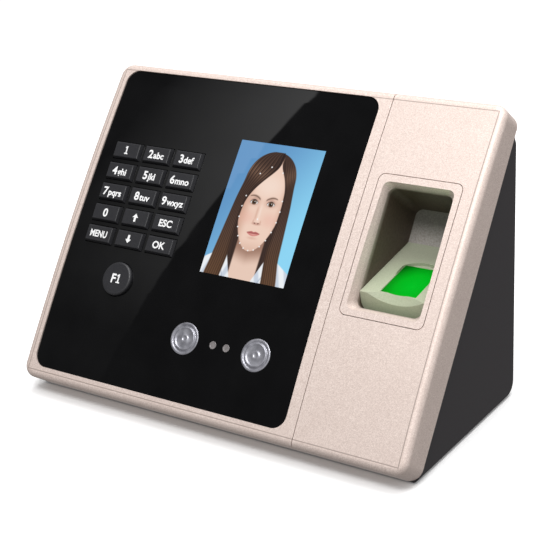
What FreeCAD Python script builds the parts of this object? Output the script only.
import FreeCAD, Part
import math
import os
import Sketcher

# Face-recognition and fingerprint terminal, in millimetres.
# The tilted face has its own axes: u to the right, v up the slope and n out of the face. The plane
# n = 0 is where the front shell meets the rear housing, and v = 0 is the lower edge of the shell.
# The base axes are x to the right, y to the back and z up. Both share one origin, on the line where
# the parting plane meets the underside, and the base axes start at the middle of the width.

DIMENSIONS = [
    # alias, value, meaning
    ("face_width", 188.0, "whole width"),
    ("face_height", 146.0, "front shell, along the slope"),
    ("face_tilt", 54.14, "slope of the face above the horizontal, degrees"),
    ("crown_height", 16.15, "highest point of the convex face above the parting plane"),
    ("crown_v", 56.57, "where that point is, up the slope"),
    ("crown_radius", 1121.0, "radius of the convex face"),
    ("corner_radius", 5.5, "corners of the shell seen along n"),
    ("rim_radius", 2.6, "rounding between the face and the sides"),
    ("shell_wall", 2.4, "wall of the front shells"),
    ("top_wall", 7.0, "upper wall of the front shells, closed behind down to the housing"),
    ("cover_skin", 2.4, "front skin of the fingerprint cover"),
    ("bezel_skin", 4.2, "front skin of the bezel, with the ledge for the panel"),
    ("seam_u", 45.12, "seam between bezel and fingerprint cover"),
    ("seam_gap", 0.3, "width of the seams"),
    ("boss_radius", 3.4, "screw bosses of the shells and the housing"),
    ("boss_pilot", 1.2, "radius of the pilot holes in the shell bosses"),
    ("case_bore", 1.4, "radius of the clearance holes for the case screws"),
    ("case_counterbore", 2.9, "radius of the counterbores for their heads"),
    ("case_head", 2.6, "radius of a case screw's head"),
    ("screw_seat", 4.0, "screw heads bear this far behind the parting plane"),
    ("screw_head", 2.0, "height of a screw head"),
    ("screw_shank", 1.05, "radius of a screw's shank"),
    ("panel_left", -88.85, "black panel, left edge"),
    ("panel_right", 39.97, "black panel, right edge"),
    ("panel_low", 5.18, "black panel, lower edge"),
    ("panel_high", 142.9, "black panel, upper edge"),
    ("panel_corner", 6.0, "corner radius of the panel"),
    ("panel_recess", 0.5, "the panel lies this far under the gold face"),
    ("panel_thick", 2.0, "panel thickness"),
    ("panel_ledge", 3.0, "width of the ledge that the panel is taped to"),
    ("panel_gap", 0.12, "clearance round the panel"),
    ("tape_thick", 0.5, "adhesive foam under the panel edge"),
    ("screen_u", 2.05, "middle of the screen window"),
    ("screen_v", 88.42, "middle of the screen window"),
    ("screen_width", 41.0, "screen window"),
    ("screen_height", 58.4, "screen window"),
    ("display_width", 50.0, "liquid crystal module"),
    ("display_height", 69.2, "liquid crystal module"),
    ("display_front", 11.2, "front of the module"),
    ("display_thick", 2.6, "liquid crystal module"),
    ("display_glass", 1.2, "depth of the recess for the module's glass"),
    ("lens_u", 1.3, "middle of the camera group"),
    ("lens_v", 30.95, "height of the camera group"),
    ("lens_spacing", 35.0, "between the two camera windows"),
    ("lens_radius", 6.77, "camera window"),
    ("groove_outer", 5.6, "ring groove in a camera window"),
    ("groove_inner", 5.1, "ring groove in a camera window"),
    ("groove_depth", 0.45, "ring groove in a camera window"),
    ("camera_board", 4.2, "upper face of the camera board"),
    ("camera_side", 9.5, "camera holder, square"),
    ("camera_holder", 7.4, "top of the camera holder"),
    ("camera_barrel", 10.2, "top of the barrel"),
    ("camera_tip", 11.6, "top of the lens"),
    ("camera_wide", 4.2, "radius of the barrel"),
    ("camera_narrow", 3.2, "radius of the lens"),
    ("lamp_spacing", 6.54, "between the two infrared lamps"),
    ("lamp_radius", 1.6, "infrared lamp"),
    ("lamp_flange", 2.2, "radius of the lamp's flange"),
    ("lamp_shoulder", 9.0, "top of the lamp's flange"),
    ("key_u", -57.75, "middle key column"),
    ("key_v", 105.1, "top key row"),
    ("key_pitch_u", 16.4, "between key columns"),
    ("key_pitch_v", 9.67, "between key rows"),
    ("key_width", 14.2, "key at the panel surface"),
    ("key_depth", 7.6, "key at the panel surface, up the slope"),
    ("key_proud", 1.7, "keys stand this far out of the panel"),
    ("key_taper", 20.0, "slope of the key sides, degrees"),
    ("key_edge", 0.35, "rounded edge of the key top"),
    ("key_gap", 0.3, "clearance round a key"),
    ("key_travel", 1.0, "how far a key goes in"),
    ("flange_low", 8.5, "underside of the key flanges at rest"),
    ("flange_thick", 1.2, "key flange"),
    ("flange_width", 15.4, "key flange"),
    ("flange_depth", 8.8, "key flange, up the slope"),
    ("stem_radius", 1.6, "key stem"),
    ("stem_low", 6.2, "tip of the key stems at rest"),
    ("round_u", -57.75, "round function key"),
    ("round_v", 48.9, "round function key"),
    ("round_radius", 7.3, "round function key"),
    ("round_flange", 8.2, "radius of its flange"),
    ("round_edge", 0.9, "rounded edge of its top"),
    ("guide_low", 37.0, "lower edge of the key guide and the keypad board"),
    ("guide_high", 113.0, "upper edge of the key guide and the keypad board"),
    ("guide_half", 27.0, "half width of the key guide and the keypad board"),
    ("guide_top", 11.2, "upper face of the key guide"),
    ("board_thick", 1.6, "circuit boards"),
    ("switch_low", 4.2, "upper face of the keypad board"),
    ("switch_side", 6.0, "tactile switch body"),
    ("switch_high", 7.3, "top of the switch bodies"),
    ("insert_left", 49.94, "fingerprint insert, left edge"),
    ("insert_right", 85.85, "fingerprint insert, right edge"),
    ("insert_low", 54.09, "fingerprint insert, lower edge"),
    ("insert_high", 111.79, "fingerprint insert, upper edge"),
    ("insert_corner", 2.6, "corner radius of the insert"),
    ("mouth_left", 52.1, "mouth of the finger well"),
    ("mouth_right", 83.8, "mouth of the finger well"),
    ("mouth_low", 56.6, "mouth of the finger well"),
    ("mouth_high", 109.5, "mouth of the finger well"),
    ("mouth_lead", 1.9, "lead-in round the mouth, across"),
    ("mouth_depth", 4.2, "lead-in round the mouth, inwards"),
    ("well_wall", 1.8, "wall of the finger well"),
    ("well_corner", 3.0, "corner radius of the finger well"),
    ("well_floor_n", -15.7, "inner end of the finger well"),
    ("well_joins", 14.2, "the walls of the well reach up to here inside the frame"),
    ("rest_v", 64.75, "front edge of the finger rest, up the slope"),
    ("rest_n", 12.4, "front edge of the finger rest, out of the face"),
    ("rest_slope", 9.8, "slope of the finger rest above the horizontal, degrees"),
    ("rest_length", 39.9, "finger rest, front edge to the end of the well"),
    ("rest_thick", 3.4, "finger rest"),
    ("apron_depth", 8.5, "apron in front of the finger rest, down from its surface"),
    ("apron_thick", 1.8, "apron in front of the finger rest"),
    ("scoop_radius", 35.0, "scoop for the finger in the top of the apron"),
    ("scoop_pitch", 49.6, "slope of the scoop, degrees"),
    ("hollow_radius", 10.6, "round far end of the hollow beyond the sensor window"),
    ("hollow_depth", 1.3, "hollow beyond the sensor window"),
    ("hollow_back", 7.4, "centre of the hollow from the far edge of the window"),
    ("fit_gap", 0.05, "clearance round parts that are pressed or set in place"),
    ("window_u", 69.4, "middle of the sensor window"),
    ("window_width", 15.4, "sensor window"),
    ("window_length", 21.0, "sensor window"),
    ("window_start", 2.6, "front edge of the sensor window from that of the rest"),
    ("window_sunk", 0.35, "the sensor window lies this far under the rest's surface"),
    ("sensor_depth", 13.0, "black box of the sensor, behind the rest"),
    ("housing_width", 186.0, "rear housing"),
    ("housing_back", 85.4, "vertical back"),
    ("housing_top", 113.9, "where the back housing meets the front shell"),
    ("housing_wall", 2.6, "wall of the rear housing"),
    ("back_wall", 4.2, "back wall, with the recess for the wall plate"),
    ("heel_radius", 6.0, "lower back edge"),
    ("crest_radius", 3.0, "upper back edge"),
    ("crest_drop", 6.0, "slope of the top, from the shell down to the back"),
    ("side_radius", 1.5, "edges of the housing's sides"),
    ("slot_width", 1.5, "sound slots in the underside"),
    ("slot_pitch", 4.0, "between sound slots"),
    ("slot_length", 18.0, "sound slots in the underside"),
    ("foot_radius", 5.0, "rubber foot"),
    ("foot_proud", 0.6, "feet stand this far out of the underside"),
    ("foot_recess", 1.2, "depth of the foot recess"),
    ("plate_width", 130.0, "steel wall plate"),
    ("plate_height", 56.0, "steel wall plate"),
    ("plate_thick", 1.5, "steel wall plate"),
    ("plate_z", 70.0, "middle of the wall plate"),
    ("plate_spacing_x", 100.0, "between wall screws"),
    ("plate_spacing_z", 36.0, "between wall screws"),
    ("plate_hole", 2.25, "radius of the wall screw holes"),
    ("port_z", 20.0, "middle of the sockets"),
    ("port_sunk", 0.4, "the sockets lie this far inside the back"),
    ("port_gap", 0.1, "clearance round the sockets"),
    ("power_x", -52.0, "power inlet"),
    ("power_bore", 3.15, "radius of the power inlet's bore"),
    ("power_pin", 1.0, "radius of its pin"),
    ("usb_x", -24.0, "usb socket"),
    ("network_x", 6.0, "network socket"),
    ("speaker_x", -62.0, "middle of the speaker"),
    ("speaker_y", 40.0, "middle of the speaker"),
    ("board_n", -8.0, "face of the main board that carries the components"),
    ("post_radius", 3.0, "posts that the main board is screwed to"),
    ("post_pilot", 1.1, "radius of their pilot holes"),
    ("board_hole", 1.6, "radius of the screw holes in the main board"),
    ("board_head", 2.7, "radius of a board screw's head"),
    ("chassis_low", 0.6, "inner frame, lower face of its plate"),
    ("chassis_top", 2.4, "inner frame, upper face of its plate"),
    ("clock_u", -58.0, "clock battery"),
    ("clock_v", 84.0, "clock battery"),
    ("footprint_middle", 37.26, "middle of the whole depth"),
]

doc = FreeCAD.newDocument("terminal")
sheet = doc.addObject("Spreadsheet::Sheet", "Size")
for row, (alias, value, meaning) in enumerate(DIMENSIONS, start=1):
    sheet.set(f"A{row}", alias)
    sheet.set(f"B{row}", str(value))
    sheet.setAlias(f"B{row}", alias)
    sheet.set(f"C{row}", meaning)
doc.recompute()


def number(formula):
    """The value that a formula of sheet cells has now."""
    return float(sheet.evalExpression(str(formula)))


def size(alias):
    return number(f"Size.{alias}")


BASE = FreeCAD.Placement(
    FreeCAD.Vector(0, -size("footprint_middle"), size("foot_proud")), FreeCAD.Rotation()
)
TILT = FreeCAD.Placement(
    FreeCAD.Vector(), FreeCAD.Rotation(FreeCAD.Vector(1, 0, 0), size("face_tilt"))
)
FACE = BASE * TILT
REST = (
    FACE
    * FreeCAD.Placement(
        FreeCAD.Vector(0, size("rest_v"), size("rest_n")),
        FreeCAD.Rotation(FreeCAD.Vector(1, 0, 0), size("rest_slope") - size("face_tilt")),
    )
)
nodes = []


# ---------------------------------------------------------------- sketches and features


def fix(sketch, kind, *references, formula):
    """Adds one driving dimension to a sketch and binds it to the sheet."""
    index = sketch.addConstraint(Sketcher.Constraint(kind, *references, number(formula)))
    sketch.setExpression(f"Constraints[{index}]", str(formula))


def polygon(sketch, corners):
    """A closed outline whose corners are (x, y) pairs of formulas."""
    points = [FreeCAD.Vector(number(x), number(y), 0) for x, y in corners]
    first = sketch.GeometryCount
    count = len(points)
    for i, point in enumerate(points):
        sketch.addGeometry(Part.LineSegment(point, points[(i + 1) % count]), False)
    for i, (x, y) in enumerate(corners):
        line, following = first + i, first + (i + 1) % count
        sketch.addConstraint(Sketcher.Constraint("Coincident", line, 2, following, 1))
        fix(sketch, "DistanceX", -1, 1, line, 1, formula=x)
        fix(sketch, "DistanceY", -1, 1, line, 1, formula=y)


def rectangle(sketch, left, low, right, high):
    polygon(sketch, [(left, low), (right, low), (right, high), (left, high)])


def circle(sketch, x, y, radius):
    centre = FreeCAD.Vector(number(x), number(y), 0)
    index = sketch.addGeometry(
        Part.Circle(centre, FreeCAD.Vector(0, 0, 1), number(radius)), False
    )
    fix(sketch, "Radius", index, formula=radius)
    fix(sketch, "DistanceX", -1, 1, index, 3, formula=x)
    fix(sketch, "DistanceY", -1, 1, index, 3, formula=y)


def arch(sketch, low, high, floor, crown):
    """A straight-sided section in v and n whose top follows the convex face, crown above n = 0."""
    middle = "Size.crown_v"
    centre = "(Size.crown_height - Size.crown_radius)"
    radius = f"({crown} - {centre})"
    ends = []
    for edge in (low, high):
        rise = f"({centre} + sqrt({radius}^2 - ({edge} - {middle})^2))"
        ends.append((number(edge), number(rise)))
    corners = [(number(low), number(floor)), (number(high), number(floor)), ends[1], ends[0]]
    points = [FreeCAD.Vector(x, y, 0) for x, y in corners]
    top = FreeCAD.Vector(number(middle), number(crown), 0)
    for start, end in ((0, 1), (1, 2), (3, 0)):
        sketch.addGeometry(Part.LineSegment(points[start], points[end]), False)
    sketch.addGeometry(Part.Arc(points[2], top, points[3]), False)
    bottom, right, left, curve = 0, 1, 2, 3
    sketch.addConstraint(Sketcher.Constraint("Coincident", bottom, 2, right, 1))
    sketch.addConstraint(Sketcher.Constraint("Coincident", left, 2, bottom, 1))
    starts_right = sketch.getPoint(curve, 1).x > top.x
    sketch.addConstraint(
        Sketcher.Constraint("Coincident", curve, 1 if starts_right else 2, right, 2)
    )
    sketch.addConstraint(
        Sketcher.Constraint("Coincident", curve, 2 if starts_right else 1, left, 1)
    )
    sketch.addConstraint(Sketcher.Constraint("Horizontal", bottom))
    sketch.addConstraint(Sketcher.Constraint("Vertical", right))
    sketch.addConstraint(Sketcher.Constraint("Vertical", left))
    fix(sketch, "DistanceX", -1, 1, bottom, 1, formula=low)
    fix(sketch, "DistanceX", -1, 1, bottom, 2, formula=high)
    fix(sketch, "DistanceY", -1, 1, bottom, 1, formula=floor)
    fix(sketch, "DistanceX", -1, 1, curve, 3, formula=middle)
    fix(sketch, "DistanceY", -1, 1, curve, 3, formula=centre)
    fix(sketch, "Radius", curve, formula=radius)


def new_sketch(body, plane, start, draw, *arguments):
    """A sketch on one of the body's origin planes, moved along the plane's normal by start."""
    sketch = body.newObject("Sketcher::SketchObject", f"{body.Name}_sketch")
    support = next(f for f in body.Origin.OriginFeatures if f.Role == plane)
    sketch.AttachmentSupport = [(support, "")]
    sketch.MapMode = "FlatFace"
    sketch.setExpression("AttachmentOffset.Base.z", str(start))
    draw(sketch, *arguments)
    return sketch


def pad(body, plane, start, end, draw, *arguments, taper=None):
    """Adds material between two heights along the plane's normal."""
    feature = body.newObject("PartDesign::Pad", f"{body.Name}_pad")
    feature.Profile = new_sketch(body, plane, start, draw, *arguments)
    feature.setExpression("Length", f"{end} - ({start})")
    if taper:
        feature.setExpression("TaperAngle", f"-({taper})")
    doc.recompute()
    return feature


def new_body(name):
    return doc.addObject("PartDesign::Body", name)


def fillet(body, base, radius, chosen):
    """Rounds the edges of base for which chosen(edge) is true."""
    names = [f"Edge{i}" for i, e in enumerate(base.Shape.Edges, start=1) if chosen(e)]
    feature = body.newObject("PartDesign::Fillet", f"{body.Name}_fillet")
    feature.Base = (base, names)
    feature.setExpression("Radius", str(radius))
    doc.recompute()
    return feature


def runs_along(edge, axis):
    """True for a straight edge parallel to an axis."""
    if len(edge.Vertexes) != 2 or not isinstance(edge.Curve, Part.Line):
        return False
    direction = edge.Vertexes[1].Point - edge.Vertexes[0].Point
    return direction.cross(axis).Length < 1e-4 * direction.Length


N_AXIS = FreeCAD.Vector(0, 0, 1)
X_AXIS = FreeCAD.Vector(1, 0, 0)

# Cutters and trimming shapes start and end here, clear of the material between the panel's
# underside and the crown of the face, and across its whole width.
BEHIND_PANEL, BEYOND_FACE = "5", "20"
LAYER_REACH = ("-100", "100", "1", "Size.face_height")


def block(name, left, low, right, high, bottom, top, radius=None):
    """A rectangular block from bottom to top, with its upright edges rounded by radius."""
    body = new_body(name)
    base = pad(body, "XY_Plane", bottom, top, rectangle, left, low, right, high)
    if radius:
        fillet(body, base, radius, lambda edge: runs_along(edge, N_AXIS))
    return body


def rod(name, x, y, radius, bottom, top):
    """A round rod along the third axis."""
    body = new_body(name)
    pad(body, "XY_Plane", bottom, top, circle, x, y, radius)
    return body


def bar(name, left, right, draw, *arguments):
    """A section drawn in the second and third axes, carried from left to right."""
    body = new_body(name)
    pad(body, "YZ_Plane", left, right, draw, *arguments)
    return body


def cut(name, base, *tools):
    result = doc.addObject("Part::Cut", name)
    result.Base = base
    result.Tool = tools[0] if len(tools) == 1 else group(f"{name}_tools", *tools)
    return result


def union(name, *shapes):
    result = doc.addObject("Part::MultiFuse", name)
    result.Shapes = list(shapes)
    return result


def common(name, *shapes):
    result = doc.addObject("Part::MultiCommon", name)
    result.Shapes = list(shapes)
    return result


def group(name, *shapes):
    """Separate solids kept together, such as a set of screws."""
    result = doc.addObject("Part::Compound", name)
    result.Links = list(shapes)
    return result


def node(label, thing, placement):
    """Names a finished sub-part and puts it where it belongs."""
    thing.Label = label
    thing.Placement = placement
    nodes.append(thing)
    return thing


def under_face(v, below):
    """Formula for the height above n = 0 of a surface that lies below the convex face, at v."""
    centre = "(Size.crown_height - Size.crown_radius)"
    radius = f"(Size.crown_radius - ({below}))"
    return f"({centre} + sqrt({radius}^2 - (({v}) - Size.crown_v)^2))"


def curved_sheet(name, left, right, low, high, outer, inner):
    """The layer between two depths under the convex face."""
    top = bar(f"{name}_top", left, right, arch, low, high, "-1", f"(Size.crown_height - {outer})")
    rest = bar(f"{name}_rest", f"({left} - 1)", f"({right} + 1)", arch, f"({low} - 1)",
               f"({high} + 1)", "-2", f"(Size.crown_height - {inner})")
    return cut(f"{name}_sheet", top, rest)


# ---------------------------------------------------------------- front shells

HALF = "Size.face_width / 2"


def front_form():
    """The outside of the whole gold shell, before it is split at the seam."""
    body = new_body("front_form")
    base = pad(body, "YZ_Plane", f"-{HALF}", HALF, arch, "0", "Size.face_height", "0",
               "Size.crown_height")
    corners = fillet(body, base, "Size.corner_radius", lambda edge: runs_along(edge, N_AXIS))
    front = max(corners.Shape.Faces, key=lambda face: face.CenterOfMass.z)
    fillet(body, corners, "Size.rim_radius", lambda edge: any(edge.isSame(e) for e in front.Edges))
    return body


def shell_cavity(name, left, right, skin):
    """The space inside a front shell, open at the back."""
    return bar(name, left, right, arch, "Size.shell_wall", "Size.face_height - Size.top_wall",
               "-2", f"(Size.crown_height - {skin})")


def bosses(name, places, skin, pilot):
    """Round screw bosses or their pilot holes, from the parting plane up into the skin."""
    rods = []
    for i, (u, v) in enumerate(places):
        if pilot:
            rods.append(rod(f"{name}_{i}", u, v, "Size.boss_pilot", "-1",
                            f"{under_face(v, skin)} - 1.5"))
        else:
            rods.append(rod(f"{name}_{i}", u, v, "Size.boss_radius", "0.2",
                            f"{under_face(v, skin)} + 0.6"))
    return rods


BEZEL_BOSSES = [(f"-{HALF} + 6.2", "9"), (f"-{HALF} + 6.2", "132"), ("39", "8.5"), ("39", "134")]
COVER_BOSSES = [(f"{HALF} - 6.2", "9"), (f"{HALF} - 6.2", "132"), ("52", "9"), ("52", "134")]

CASE_SCREWS = BEZEL_BOSSES + COVER_BOSSES

form = front_form()
bezel_edge = "Size.seam_u - Size.seam_gap / 2"
cover_edge = "Size.seam_u + Size.seam_gap / 2"


def front_bezel():
    left_side = block("bezel_side", f"-{HALF} - 1", "-1", bezel_edge, "Size.face_height + 1",
                      "-1", "Size.crown_height + 1")
    outside = common("bezel_outside", form, left_side)
    cavity = shell_cavity("bezel_cavity", f"-{HALF} + Size.shell_wall", "Size.seam_u + 1",
                          "Size.bezel_skin")
    hollow = cut("bezel_hollow", outside, cavity)
    gap = "Size.panel_gap"
    recess_outline = block("recess_outline", f"Size.panel_left - {gap}", f"Size.panel_low - {gap}",
                           f"Size.panel_right + {gap}", f"Size.panel_high + {gap}", "2",
                           "Size.crown_height + 2", "Size.panel_corner")
    depth = "Size.panel_recess + Size.panel_thick + Size.tape_thick"
    under = bar("recess_under", f"-{HALF}", HALF, arch, "-3", "Size.face_height + 3", "-3",
                f"(Size.crown_height - ({depth}))")
    recess = cut("panel_recess", recess_outline, under)
    opening = block("panel_opening", "Size.panel_left + Size.panel_ledge",
                    "Size.panel_low + Size.panel_ledge", "Size.panel_right - Size.panel_ledge",
                    "Size.panel_high - Size.panel_ledge", "1", "Size.crown_height + 1",
                    "Size.panel_corner - 2")
    solid = bosses("bezel_boss", BEZEL_BOSSES, "Size.bezel_skin", False)
    pilots = bosses("bezel_pilot", BEZEL_BOSSES, "Size.bezel_skin", True)
    return cut("front_bezel", union("bezel_posts", hollow, *solid), recess, opening, *pilots)


def fingerprint_cover():
    right_side = block("cover_side", cover_edge, "-1", f"{HALF} + 1", "Size.face_height + 1",
                       "-1", "Size.crown_height + 1")
    outside = common("cover_outside", form, right_side)
    cavity = shell_cavity("cover_cavity", "Size.seam_u - 1", f"{HALF} - Size.shell_wall",
                          "Size.cover_skin")
    hollow = cut("cover_hollow", outside, cavity)
    gap = "Size.seam_gap"
    opening = block("insert_opening", f"Size.insert_left - {gap}", f"Size.insert_low - {gap}",
                    f"Size.insert_right + {gap}", f"Size.insert_high + {gap}", "2",
                    "Size.crown_height + 2", "Size.insert_corner + Size.seam_gap")
    solid = bosses("cover_boss", COVER_BOSSES, "Size.cover_skin", False)
    pilots = bosses("cover_pilot", COVER_BOSSES, "Size.cover_skin", True)
    return cut("fingerprint_cover", union("cover_posts", hollow, *solid), opening, *pilots)


node("front_bezel", front_bezel(), FACE)
node("fingerprint_cover", fingerprint_cover(), FACE)

# ---------------------------------------------------------------- keys and the black panel

KEY_ROWS = [
    ("1", "2", "3"),
    ("4", "5", "6"),
    ("7", "8", "9"),
    ("0", "up", "esc"),
    ("menu", "down", "ok"),
]
KEYS = [
    (name, f"Size.key_u + {column - 1} * Size.key_pitch_u",
     f"Size.key_v - {row} * Size.key_pitch_v")
    for row, names in enumerate(KEY_ROWS)
    for column, name in enumerate(names)
]


def centred(u, v, width, depth):
    """Edges of a rectangle from its middle and size."""
    return (f"({u}) - ({width}) / 2", f"({v}) - ({depth}) / 2",
            f"({u}) + ({width}) / 2", f"({v}) + ({depth}) / 2")


def key(name, u, v):
    """A key: stem, retaining flange, straight shank through the panel and tapered top."""
    body = new_body(f"key_{name}")
    surface = under_face(v, "Size.panel_recess")
    cap = centred(u, v, "Size.key_width", "Size.key_depth")
    pad(body, "XY_Plane", "Size.flange_low", "Size.flange_low + Size.flange_thick", rectangle,
        *centred(u, v, "Size.flange_width", "Size.flange_depth"))
    pad(body, "XY_Plane", "Size.stem_low", "Size.flange_low", circle, u, v, "Size.stem_radius")
    pad(body, "XY_Plane", "Size.flange_low + Size.flange_thick", surface, rectangle, *cap)
    top = pad(body, "XY_Plane", surface, f"{surface} + Size.key_proud", rectangle, *cap,
              taper="Size.key_taper")
    height = top.Shape.BoundBox.ZMax
    fillet(body, top, "Size.key_edge", lambda edge: edge.BoundBox.ZMin > height - 1e-4)
    return body


def round_key(u, v):
    """The round function key, with the same stem and a flange of its own."""
    body = new_body("key_f1")
    surface = under_face(v, "Size.panel_recess")
    pad(body, "XY_Plane", "Size.flange_low", "Size.flange_low + Size.flange_thick", circle,
        u, v, "Size.round_flange")
    pad(body, "XY_Plane", "Size.stem_low", "Size.flange_low", circle, u, v, "Size.stem_radius")
    top = pad(body, "XY_Plane", "Size.flange_low + Size.flange_thick",
              f"{surface} + Size.key_proud", circle, u, v, "Size.round_radius")
    height = top.Shape.BoundBox.ZMax
    fillet(body, top, "Size.round_edge", lambda edge: edge.BoundBox.ZMin > height - 1e-4)
    return body


for key_name, key_u, key_v in KEYS:
    node(f"key_{key_name}", key(key_name, key_u, key_v), FACE)
node("key_f1", round_key("Size.round_u", "Size.round_v"), FACE)


def key_openings(name, low, high, gap):
    """Clearance openings for all the keys between two heights."""
    openings = []
    for key_name, u, v in KEYS:
        edges = centred(u, v, f"Size.key_width + 2 * {gap}", f"Size.key_depth + 2 * {gap}")
        openings.append(block(f"{name}_{key_name}", *edges, low, high))
    openings.append(rod(f"{name}_f1", "Size.round_u", "Size.round_v", f"Size.round_radius + {gap}",
                        low, high))
    return openings


LENSES = [("left", "Size.lens_u - Size.lens_spacing / 2"),
          ("right", "Size.lens_u + Size.lens_spacing / 2")]
LAMPS = [("left", "Size.lens_u - Size.lamp_spacing / 2"),
         ("right", "Size.lens_u + Size.lamp_spacing / 2")]


def front_panel():
    outline = block("panel_outline", "Size.panel_left", "Size.panel_low", "Size.panel_right",
                    "Size.panel_high", BEHIND_PANEL, "Size.crown_height", "Size.panel_corner")
    layer = curved_sheet("panel", *LAYER_REACH, "Size.panel_recess",
                         "(Size.panel_recess + Size.panel_thick)")
    plate = common("panel_plate", outline, layer)
    window = block("screen_opening", *centred("Size.screen_u", "Size.screen_v", "Size.screen_width",
                                              "Size.screen_height"), BEHIND_PANEL, BEYOND_FACE)
    holes = [window]
    for kind, radius, places in (("lens", "Size.lens_radius", LENSES),
                                 ("lamp", "Size.lamp_radius", LAMPS)):
        holes += [rod(f"{kind}_opening_{side}", u, "Size.lens_v", f"{radius} + Size.fit_gap",
                      BEHIND_PANEL, BEYOND_FACE) for side, u in places]
    holes += key_openings("key_opening", BEHIND_PANEL, BEYOND_FACE, "Size.key_gap")
    return cut("front_panel", plate, *holes)


node("front_panel", front_panel(), FACE)


def panel_tape():
    """Adhesive foam frame between the panel and the ledge of the bezel."""
    outline = block("tape_outline", "Size.panel_left + 0.2", "Size.panel_low + 0.2",
                    "Size.panel_right - 0.2", "Size.panel_high - 0.2", BEHIND_PANEL,
                    "Size.crown_height",
                    "Size.panel_corner - 0.2")
    inside = block("tape_inside", "Size.panel_left + Size.panel_ledge",
                   "Size.panel_low + Size.panel_ledge", "Size.panel_right - Size.panel_ledge",
                   "Size.panel_high - Size.panel_ledge", "4", "Size.crown_height + 1",
                   "Size.panel_corner - 2")
    under_panel = "(Size.panel_recess + Size.panel_thick)"
    layer = curved_sheet("tape", *LAYER_REACH, under_panel,
                         f"({under_panel} + Size.tape_thick)")
    return cut("panel_tape", common("tape_plate", outline, layer), inside)


node("panel_tape", panel_tape(), FACE)


def window_fill(name, tool, thick):
    """A clear insert flush with the panel."""
    layer = curved_sheet(name, *LAYER_REACH, "Size.panel_recess",
                         f"(Size.panel_recess + {thick})")
    return common(name, tool, layer)


screen_outline = block("screen_window_outline", *centred(
    "Size.screen_u", "Size.screen_v", "Size.screen_width", "Size.screen_height"),
    BEHIND_PANEL, BEYOND_FACE)
node("screen_window", window_fill("screen_window", screen_outline, "Size.panel_thick"), FACE)
for side, u in LENSES:
    round_outline = rod(f"lens_rod_{side}", u, "Size.lens_v", "Size.lens_radius", BEHIND_PANEL,
                        BEYOND_FACE)
    disc = window_fill(f"lens_disc_{side}", round_outline, "Size.panel_thick")
    groove_low = under_face("Size.lens_v", "Size.panel_recess + Size.groove_depth")
    groove = cut(f"lens_groove_{side}",
                 rod(f"groove_outer_{side}", u, "Size.lens_v", "Size.groove_outer", groove_low,
                     BEYOND_FACE),
                 rod(f"groove_inner_{side}", u, "Size.lens_v", "Size.groove_inner", BEHIND_PANEL,
                     BEYOND_FACE))
    node(f"camera_window_{side}", cut(f"camera_window_{side}", disc, groove), FACE)

# ---------------------------------------------------------------- display, keypad and cameras


def display_module():
    """The metal-framed liquid crystal module, with a recess for its glass."""
    edges = centred("Size.screen_u", "Size.screen_v", "Size.display_width", "Size.display_height")
    case = block("display_case", *edges, "Size.display_front - Size.display_thick",
                 "Size.display_front", "0.8")
    glass = block("display_recess", *centred("Size.screen_u", "Size.screen_v",
                                             "Size.display_width - 4", "Size.display_height - 6"),
                  "Size.display_front - Size.display_glass", "Size.display_front + 1")
    return cut("display_frame", case, glass)


node("display_frame", display_module(), FACE)
node("display_glass", block("display_glass", *centred(
    "Size.screen_u", "Size.screen_v", "Size.display_width - 4.4", "Size.display_height - 6.4"),
    "Size.display_front - Size.display_glass", "Size.display_front - 0.1"), FACE)

GUIDE_LOW = "(Size.flange_low + Size.flange_thick + 0.1)"
GUIDE_EDGES = ("Size.key_u - Size.guide_half", "Size.guide_low", "Size.key_u + Size.guide_half",
               "Size.guide_high")


def key_guide():
    """The moulded plate that holds the key flanges in."""
    plate = block("guide_plate", *GUIDE_EDGES, GUIDE_LOW, "Size.guide_top", "2")
    openings = key_openings("guide_opening", BEHIND_PANEL, BEYOND_FACE,
                            "(Size.key_gap + Size.fit_gap)")
    return cut("key_guide", plate, *openings)


node("key_guide", key_guide(), FACE)
node("keypad_board", block("keypad_board", *GUIDE_EDGES, "Size.switch_low - Size.board_thick",
                           "Size.switch_low", "2"), FACE)


def keypad_switches():
    """One tactile switch under each key, with a well that the stem goes into."""
    switches = []
    for key_name, u, v in KEYS + [("f1", "Size.round_u", "Size.round_v")]:
        body = block(f"switch_body_{key_name}", *centred(u, v, "Size.switch_side",
                                                         "Size.switch_side"),
                     "Size.switch_low", "Size.switch_high")
        well = rod(f"switch_well_{key_name}", u, v, "Size.stem_radius + 0.3",
                   "Size.stem_low - Size.key_travel - 0.3", "Size.switch_high + 1")
        switches.append(cut(f"switch_{key_name}", body, well))
    return group("keypad_switches", *switches)


node("keypad_switches", keypad_switches(), FACE)

node("camera_board", block("camera_board", *centred("Size.lens_u", "Size.lens_v", "52", "20"),
                           "Size.camera_board - Size.board_thick", "Size.camera_board", "1.5"),
     FACE)
for side, u in LENSES:
    camera = new_body(f"camera_{side}")
    pad(camera, "XY_Plane", "Size.camera_board", "Size.camera_holder", rectangle,
        *centred(u, "Size.lens_v", "Size.camera_side", "Size.camera_side"))
    pad(camera, "XY_Plane", "Size.camera_holder", "Size.camera_barrel", circle, u, "Size.lens_v",
        "Size.camera_wide")
    pad(camera, "XY_Plane", "Size.camera_barrel", "Size.camera_tip", circle, u, "Size.lens_v",
        "Size.camera_narrow")
    node(f"camera_{side}", camera, FACE)


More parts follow.
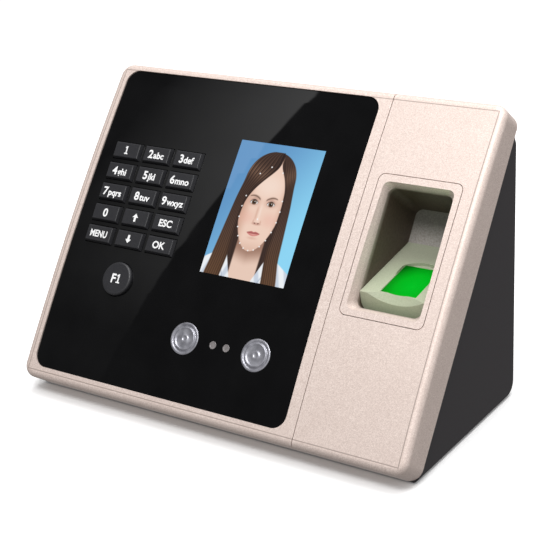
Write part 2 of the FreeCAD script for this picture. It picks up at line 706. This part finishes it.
def infrared_lamps():
    lamps = []
    for side, u in LAMPS:
        lamp = new_body(f"lamp_{side}")
        top = under_face("Size.lens_v", "Size.panel_recess")
        pad(lamp, "XY_Plane", "Size.camera_board", "Size.lamp_shoulder", circle, u, "Size.lens_v",
            "Size.lamp_flange")
        pad(lamp, "XY_Plane", "Size.lamp_shoulder", top, circle, u, "Size.lens_v",
            "Size.lamp_radius")
        lamps.append(lamp)
    return group("infrared_lamps", *lamps)


node("infrared_lamps", infrared_lamps(), FACE)

# ---------------------------------------------------------------- fingerprint insert and sensor


def well_column(name, inset, bottom, top, radius):
    return block(name, f"Size.mouth_left + {inset}", f"Size.mouth_low + {inset}",
                 f"Size.mouth_right - {inset}", f"Size.mouth_high - {inset}", bottom, top, radius)


def sensor_surround():
    """The insert: a flush frame with a lead-in, and the walls and inner end of the finger well."""
    outline = block("insert_outline", "Size.insert_left", "Size.insert_low", "Size.insert_right",
                    "Size.insert_high", BEHIND_PANEL, "Size.crown_height + 1",
                    "Size.insert_corner")
    layer = curved_sheet("insert", *LAYER_REACH, "0", "2.6")
    frame = common("insert_frame", outline, layer)
    tube = well_column("well_tube", "(Size.mouth_lead - Size.well_wall)",
                       "Size.well_floor_n - Size.well_wall", "Size.well_joins",
                       "Size.well_corner + Size.well_wall")
    mouth = new_body("well_mouth")
    lead = pad(mouth, "XY_Plane", "Size.crown_height - Size.mouth_depth",
               "Size.crown_height + 0.3", rectangle,
               "Size.mouth_left + Size.mouth_lead", "Size.mouth_low + Size.mouth_lead",
               "Size.mouth_right - Size.mouth_lead", "Size.mouth_high - Size.mouth_lead",
               taper="-atan(Size.mouth_lead / Size.mouth_depth)")
    fillet(mouth, lead, "Size.well_corner", lambda edge: edge.BoundBox.ZLength > 1)
    hollow = well_column("well_hollow", "Size.mouth_lead", "Size.well_floor_n",
                         "Size.crown_height", "Size.well_corner")
    below = bar("below_rest", "Size.seam_u", "Size.face_width", polygon,
                below_rest_line("Size.fit_gap"))
    shaped = cut("insert_shaped", union("insert_walls", frame, tube), mouth, hollow)
    return cut("sensor_surround", shaped, below)


def rest_point(along, above):
    """Formulas in v and n for a point given along the finger rest and above its surface."""
    angle = "(Size.face_tilt - Size.rest_slope) * 1 deg"
    v = f"(Size.rest_v + ({along}) * cos({angle}) + ({above}) * sin({angle}))"
    n = f"(Size.rest_n - ({along}) * sin({angle}) + ({above}) * cos({angle}))"
    return v, n


def below_rest_line(gap):
    """A region that takes away everything under the finger rest and behind its apron."""
    under = f"-(Size.rest_thick + {gap})"
    behind_apron = f"Size.apron_thick + {gap}"
    front = rest_point(behind_apron, under)
    foot = rest_point(behind_apron, f"-(Size.apron_depth + {gap})")
    back = rest_point("Size.rest_length + 8", under)
    low = "Size.mouth_low - 6"
    return [front, back, (back[0], "-60"), (low, "-60"), (low, foot[1]), foot]


node("sensor_surround", sensor_surround(), FACE)

REST_LEFT = "Size.mouth_left + Size.mouth_lead + 2 * Size.fit_gap"
REST_RIGHT = "Size.mouth_right - Size.mouth_lead - 2 * Size.fit_gap"


def apron_scoop():
    """A round cutter that slopes down over the apron, lowest under the middle of the window."""
    pitch = math.radians(size("scoop_pitch"))
    radius = size("scoop_radius")
    lowest = FreeCAD.Vector(size("window_u"), size("window_start"), -size("window_sunk"))
    out_of_slope = FreeCAD.Vector(0, -math.sin(pitch), math.cos(pitch))
    cutter = rod("apron_scoop", "0", "0", "Size.scoop_radius", "-20", "20")
    cutter.Placement = FreeCAD.Placement(
        lowest + out_of_slope * radius,
        FreeCAD.Rotation(FreeCAD.Vector(1, 0, 0), size("scoop_pitch") - 90))
    return cutter


WINDOW_MIDDLE = ("Size.window_u", "Size.window_start + Size.window_length / 2")


def finger_rest():
    """The sloping floor of the well with an apron in front, and a hollow round the sensor window."""
    slab = bar("rest_slab", REST_LEFT, REST_RIGHT, polygon, [
        ("0", "0"), ("0", "-Size.apron_depth"), ("Size.apron_thick", "-Size.apron_depth"),
        ("Size.apron_thick", "-Size.rest_thick"),
        ("Size.rest_length - Size.rest_thick", "-Size.rest_thick"),
        ("Size.rest_length - 0.1", "0")])
    limit = well_column("rest_limit", "Size.mouth_lead + 2 * Size.fit_gap", "-20", "15",
                        "Size.well_corner + 0.2")
    limit.Placement = REST.inverse().multiply(FACE)
    half = "(Size.window_width / 2 + 0.7)"
    far_centre = "Size.window_start + Size.window_length - Size.hollow_back"
    far_hollow = common(
        "far_hollow",
        rod("far_round", "Size.window_u", far_centre, "Size.hollow_radius", "-Size.hollow_depth", "2"),
        block("far_band", f"Size.window_u - {half}", far_centre, f"Size.window_u + {half}",
              f"{far_centre} + Size.hollow_radius + 1", "-2", "3"))
    opening = block("window_opening", *centred(
        *WINDOW_MIDDLE, "Size.window_width + 2 * Size.fit_gap",
        "Size.window_length + 2 * Size.fit_gap"), "-6", "2")
    return cut("finger_rest", common("rest_body", slab, limit), apron_scoop(), far_hollow, opening)


node("finger_rest", finger_rest(), REST)

node("sensor_window", block("sensor_window", *centred(
    *WINDOW_MIDDLE, "Size.window_width", "Size.window_length"), "-Size.rest_thick",
    "-Size.window_sunk", "0.3"), REST)
HOUSING = centred(*WINDOW_MIDDLE, "Size.window_width + 5", "Size.window_length + 1.2")
SENSOR_END = "-Size.rest_thick - Size.sensor_depth"


def sensor_housing():
    """The black box of the optical sensor, open under the window for the light."""
    case = block("sensor_case", *HOUSING, SENSOR_END, "-Size.rest_thick", "1")
    light_way = block("sensor_light_way", *centred(
        *WINDOW_MIDDLE, "Size.window_width - 2", "Size.window_length - 2"),
        f"{SENSOR_END} + 1.5", "-Size.rest_thick + 1")
    return cut("sensor_housing", case, light_way)


node("sensor_housing", sensor_housing(), REST)
node("sensor_lamp", block("sensor_lamp", *centred(
    *WINDOW_MIDDLE, "Size.window_width - 3", "Size.window_length - 3"),
    f"{SENSOR_END} + 1.6", f"{SENSOR_END} + 3.1"), REST)
node("sensor_board", block("sensor_board", *HOUSING, f"{SENSOR_END} - Size.board_thick", SENSOR_END,
                           "0.8"), REST)

# ---------------------------------------------------------------- rear housing

SIDE = "Size.housing_width / 2"
SLOPE = "tan(Size.face_tilt * 1 deg)"


def housing_section(sketch, wall, back, past):
    """Wedge section: underside, vertical back, and the parting plane, shrunk by the walls."""
    rear = f"Size.housing_back - {back}"
    polygon(sketch, [
        (f"{wall} / {SLOPE} - {past}", wall), (rear, wall),
        (rear, f"({rear}) * {SLOPE} + {past}")])


def housing_outside():
    body = new_body("housing_outside")
    top_y = "Size.housing_top / " + SLOPE
    base = pad(body, "YZ_Plane", f"-{SIDE}", SIDE, polygon, [
        ("0", "0"), ("Size.housing_back", "0"),
        ("Size.housing_back", "Size.housing_top - Size.crest_drop"), (top_y, "Size.housing_top")])
    back, crest = size("housing_back"), size("housing_top") - size("crest_drop")
    heel = fillet(body, base, "Size.heel_radius", lambda edge: runs_along(edge, X_AXIS)
                  and edge.CenterOfMass.y > back - 0.1 and edge.CenterOfMass.z < 1)
    crown = fillet(body, heel, "Size.crest_radius", lambda edge: runs_along(edge, X_AXIS)
                   and edge.CenterOfMass.y > back - 0.1 and edge.CenterOfMass.z > crest - 1)

    def on_side_contour(edge):
        box = edge.BoundBox
        on_side = min(abs(abs(box.XMin) - number(SIDE)), abs(abs(box.XMax) - number(SIDE))) < 0.01
        flat = box.XMax - box.XMin < 0.01
        middle = edge.CenterOfMass
        on_parting = abs(middle.z - middle.y * number(SLOPE)) < 0.05
        return on_side and flat and not on_parting

    fillet(body, crown, "Size.side_radius", on_side_contour)
    return body


FEET = [("-75", "14"), ("75", "14"), ("-75", "71"), ("75", "71")]
PORTS = [  # node, middle, half width, half height, depth
    ("power_jack", "Size.power_x", "4.9", "5.6", "12"),
    ("usb_socket", "Size.usb_x", "6.8", "3.7", "14"),
    ("network_socket", "Size.network_x", "8.2", "6.9", "16"),
]


def rear_housing():
    outside = housing_outside()
    cavity = bar("housing_cavity", f"-{SIDE} + Size.housing_wall", f"{SIDE} - Size.housing_wall",
                 housing_section, "Size.housing_wall", "Size.back_wall", "6")
    hollow = cut("housing_hollow", outside, cavity)
    posts = [rod(f"housing_post_{i}", u, v, "Size.boss_radius", "-20", "0")
             for i, (u, v) in enumerate(CASE_SCREWS)]
    post_group = group("housing_posts", *posts)
    post_group.Placement = TILT
    trimmed = common("housing_posts_trimmed", outside, post_group)
    bodies = union("housing_with_posts", hollow, trimmed)
    bores = []
    for i, (u, v) in enumerate(CASE_SCREWS):
        bores.append(rod(f"housing_bore_{i}", u, v, "Size.case_bore", "-22", "1"))
        bores.append(rod(f"housing_counterbore_{i}", u, v, "Size.case_counterbore", "-22",
                         "-Size.screw_seat"))
    bore_group = group("housing_bores", *bores)
    bore_group.Placement = TILT
    recess = block("plate_recess", "-Size.plate_width / 2 - 0.1",
                   "Size.housing_back - Size.plate_thick - Size.fit_gap",
                   "Size.plate_width / 2 + 0.1", "Size.housing_back + 2",
                   "Size.plate_z - Size.plate_height / 2 - 0.1",
                   "Size.plate_z + Size.plate_height / 2 + 0.1")
    ports = [block(f"{name}_opening", f"{x} - {half_x} - Size.port_gap", "Size.housing_back - 8",
                   f"{x} + {half_x} + Size.port_gap", "Size.housing_back + 2",
                   f"Size.port_z - {half_z} - Size.port_gap",
                   f"Size.port_z + {half_z} + Size.port_gap")
             for name, x, half_x, half_z, _ in PORTS]
    feet = [rod(f"foot_recess_{i}", x, y, "Size.foot_radius + 0.1", "-1", "Size.foot_recess")
            for i, (x, y) in enumerate(FEET)]
    slots = [block(f"sound_slot_{i}", *centred(f"Size.speaker_x + {i - 2} * Size.slot_pitch",
                                               "Size.speaker_y", "Size.slot_width",
                                               "Size.slot_length"), "-1", "6", "0.7")
             for i in range(5)]
    return cut("rear_housing", bodies, recess, bore_group, *ports, *feet, *slots)


node("rear_housing", rear_housing(), BASE)
node("rubber_feet", group("rubber_feet", *[
    rod(f"foot_{i}", x, y, "Size.foot_radius", "-Size.foot_proud", "Size.foot_recess")
    for i, (x, y) in enumerate(FEET)]), BASE)


def across(name, x, z, radius, front, back):
    """A round rod along y, turned from an upright one."""
    body = new_body(name)
    pad(body, "XZ_Plane", f"-({back})", f"-({front})", circle, x, z, radius)
    return body


def wall_plate():
    plate = block("plate_blank", "-Size.plate_width / 2", "Size.housing_back - Size.plate_thick",
                  "Size.plate_width / 2", "Size.housing_back",
                  "Size.plate_z - Size.plate_height / 2", "Size.plate_z + Size.plate_height / 2")
    holes = [across(f"wall_hole_{i}", f"{sx} * Size.plate_spacing_x / 2",
                    f"Size.plate_z + {sz} * Size.plate_spacing_z / 2", "Size.plate_hole",
                    "Size.housing_back - 10", "Size.housing_back + 5")
             for i, (sx, sz) in enumerate([(-1, -1), (1, -1), (-1, 1), (1, 1)])]
    return cut("wall_plate", plate, *holes)


node("wall_plate", wall_plate(), BASE)

# ---------------------------------------------------------------- sockets and boards


def socket(name, hollow):
    """The body of one of the sockets, with its hollows cut out."""
    x, half_x, half_z, depth = next(port[1:] for port in PORTS if port[0] == name)
    body = block(f"{name}_case", f"{x} - {half_x}",
                 f"Size.housing_back - Size.port_sunk - {depth}", f"{x} + {half_x}",
                 "Size.housing_back - Size.port_sunk", f"Size.port_z - {half_z}",
                 f"Size.port_z + {half_z}")
    return cut(f"{name}_body", body, *hollow)


def hollow_block(name, x, half_x, low, high, depth):
    return block(name, f"{x} - {half_x}", f"Size.housing_back - {depth}", f"{x} + {half_x}",
                 "Size.housing_back + 2", f"Size.port_z - {low}", f"Size.port_z + {high}")


def power_jack():
    bore = across("jack_bore", "Size.power_x", "Size.port_z", "Size.power_bore",
                  "Size.housing_back - 10", "Size.housing_back + 2")
    pin = across("jack_pin", "Size.power_x", "Size.port_z", "Size.power_pin",
                 "Size.housing_back - 11", "Size.housing_back - 1.5")
    return union("power_jack", socket("power_jack", [bore]), pin)


def usb_socket():
    hollow = hollow_block("usb_hollow", "Size.usb_x", "6.2", "2.6", "2.6", "12.5")
    tongue = block("usb_tongue", "Size.usb_x - 5.6", "Size.housing_back - 14", "Size.usb_x + 5.6",
                   "Size.housing_back - 1.6", "Size.port_z + 0.3", "Size.port_z + 2.1")
    return union("usb_socket", socket("usb_socket", [hollow]), tongue)


def network_socket():
    return socket("network_socket", [
        hollow_block("network_hollow", "Size.network_x", "5.9", "3.4", "3.4", "13"),
        hollow_block("network_latch_way", "Size.network_x", "3.1", "5.6", "0", "13")])


node("power_jack", power_jack(), BASE)
node("usb_socket", usb_socket(), BASE)
node("network_socket", network_socket(), BASE)
node("port_board", block("port_board", "-62", "50", "20", "Size.housing_back - Size.back_wall - 0.3",
                         "Size.port_z - 7 - Size.board_thick", "Size.port_z - 7", "1"), BASE)

BOARD_POSTS = [("-78", "54"), ("38", "54"), ("-78", "108"), ("38", "108")]
BOARD_BACK = "(Size.board_n - Size.board_thick)"


def main_board():
    board = block("board_blank", "-82", "50", "42", "112", BOARD_BACK, "Size.board_n", "2")
    holes = [rod(f"board_hole_{i}", u, v, "Size.board_hole", f"{BOARD_BACK} - 2", "Size.board_n + 2")
             for i, (u, v) in enumerate(BOARD_POSTS)]
    return cut("main_board", board, *holes)


node("main_board", main_board(), FACE)
CHIPS = [  # name, middle in u and v, width, depth, height
    ("processor", "-20", "82", "15", "15", "1.4"), ("memory", "2", "84", "11", "14", "1.1"),
    ("radio", "24", "98", "16", "18", "2.4"), ("regulator", "-60", "62", "7", "9", "2.2"),
    ("display_connector", "5", "58", "24", "4", "2.6"),
    ("keypad_connector", "-50", "102", "14", "4", "3.0"),
    ("sensor_connector", "34", "76", "4", "12", "4.2"),
    ("clock_holder", "Size.clock_u", "Size.clock_v", "14", "14", "2.8"),
]
node("board_components", group("board_components", *[
    block(name, *centred(u, v, width, depth), "Size.board_n", f"Size.board_n + {height}")
    for name, u, v, width, depth, height in CHIPS]), FACE)
node("clock_battery", rod("clock_battery", "Size.clock_u", "Size.clock_v", "6.2",
                          "Size.board_n + 2.8", "Size.board_n + 4.8"), FACE)


def inner_frame():
    """The chassis plate that carries the display, keypad, camera and main boards."""
    plate = block("chassis_plate", "-85", "14", "43", "124", "Size.chassis_low",
                  "Size.chassis_top", "3")
    window = block("chassis_window", "-22", "56", "30", "118", "-1", "4", "3")
    relief = block("chassis_relief", "-40", "20", "-28", "112", "-1", "4", "2")
    posts = [rod(f"chassis_post_{i}", u, v, "Size.post_radius", "Size.board_n",
                 "Size.chassis_low + 0.2") for i, (u, v) in enumerate(BOARD_POSTS)]
    rails = [block(f"display_rail_{i}", left, "56", right, "120", "Size.chassis_top - 0.2",
                   "Size.display_front - Size.display_thick")
             for i, (left, right) in enumerate([("-25.5", "-23.5"), ("30.5", "32.5")])]
    body = union("chassis_body", cut("chassis_flat", plate, window, relief), *posts, *rails)
    bores = [rod(f"chassis_bore_{i}", u, v, "Size.post_pilot", "Size.board_n - 1", "3")
             for i, (u, v) in enumerate(BOARD_POSTS)]
    return cut("inner_frame", body, *bores)


node("inner_frame", inner_frame(), FACE)


def screw(name, u, v, seat, tip, head):
    """A screw whose head ends at the seat and whose shank goes on to the tip."""
    body = new_body(name)
    pad(body, "XY_Plane", f"{seat} - Size.screw_head", seat, circle, u, v, head)
    pad(body, "XY_Plane", seat, tip, circle, u, v, "Size.screw_shank")
    return body


node("board_screws", group("board_screws", *[
    screw(f"board_screw_{i}", u, v, BOARD_BACK, "-2", "Size.board_head")
    for i, (u, v) in enumerate(BOARD_POSTS)]), FACE)
node("case_screws", group("case_screws", *[
    screw(f"case_screw_{i}", u, v, "-Size.screw_seat", "7", "Size.case_head")
    for i, (u, v) in enumerate(CASE_SCREWS)]), FACE)


def speaker():
    body = new_body("speaker")
    middle = ("Size.speaker_x", "Size.speaker_y")
    pad(body, "XY_Plane", "Size.housing_wall", "5", circle, *middle, "14")
    pad(body, "XY_Plane", "5", "9.5", circle, *middle, "9")
    return body


node("speaker", speaker(), BASE)
node("backup_battery", block("backup_battery", "20", "34", "82", "70", "Size.housing_wall + 0.3",
                             "Size.housing_wall + 8.8", "3"), BASE)

# ---------------------------------------------------------------- checks and export

doc.recompute()
for thing in doc.Objects:
    if "Invalid" in thing.State or "Error" in thing.State:
        raise RuntimeError(f"{thing.Name} failed: {thing.State}")
os.makedirs("parts", exist_ok=True)
for thing in nodes:
    shape = thing.Shape
    if shape.isNull() or not shape.isValid() or not shape.Solids:
        raise RuntimeError(f"{thing.Label} has no valid solid")
    shape.exportStep(f"parts/{thing.Label}.step")
